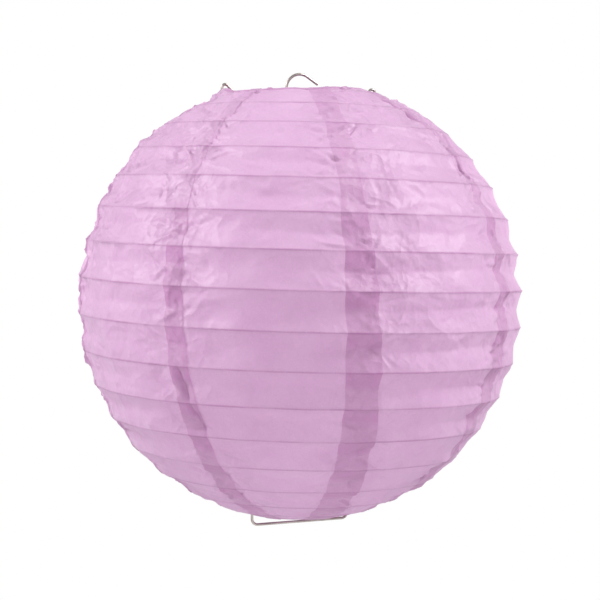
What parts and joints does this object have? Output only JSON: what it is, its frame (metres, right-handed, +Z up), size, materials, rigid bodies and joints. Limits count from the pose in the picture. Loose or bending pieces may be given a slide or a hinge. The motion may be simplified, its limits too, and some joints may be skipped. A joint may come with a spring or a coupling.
{
  "type": "paper lantern",
  "caption": "Round hanging lantern of pasted pale purple paper gores over a spiral wire rib, with wire mouth rings and a bent spring-wire stretcher ending in a hook.",
  "frame": {"origin": "underside of the hook's crown, where a hanging line bears", "axes": "+Z up along the lantern's axis; the stretcher wire lies in the XZ plane, with the hook's free tip towards +X"},
  "size_m": [0.3002, 0.3002, 0.3065],
  "materials": {
    "paper": "matte, crinkled, translucent tissue",
    "stretcher_steel": "bright drawn spring wire",
    "ring_steel": "drawn wire",
    "rib_steel": "drawn wire"
  },
  "bodies": {
    "stretcher": {"stretcher_wire": "stretcher_steel"},
    "shade": {"top_ring": "ring_steel", "spiral_rib": "rib_steel", "paper_gore_1": "paper", "paper_gore_2": "paper", "paper_gore_3": "paper", "paper_gore_4": "paper", "paper_gore_5": "paper", "paper_gore_6": "paper", "paper_gore_7": "paper", "paper_gore_8": "paper"},
    "bottom_mouth": {"bottom_ring": "ring_steel"}
  },
  "joints": [
    {"name": "shade_off", "type": "slide", "parent": "stretcher", "child": "shade", "axis": [0, 0, -1], "range_m": [0, 0.31], "deforming": ["stretcher_wire"]},
    {"name": "fold", "type": "slide", "parent": "shade", "child": "bottom_mouth", "axis": [0, 0, 1], "range_m": [0, 0.26], "deforming": ["paper_gore_1", "paper_gore_2", "paper_gore_3", "paper_gore_4", "paper_gore_5", "paper_gore_6", "paper_gore_7", "paper_gore_8", "spiral_rib"]}
  ]
}
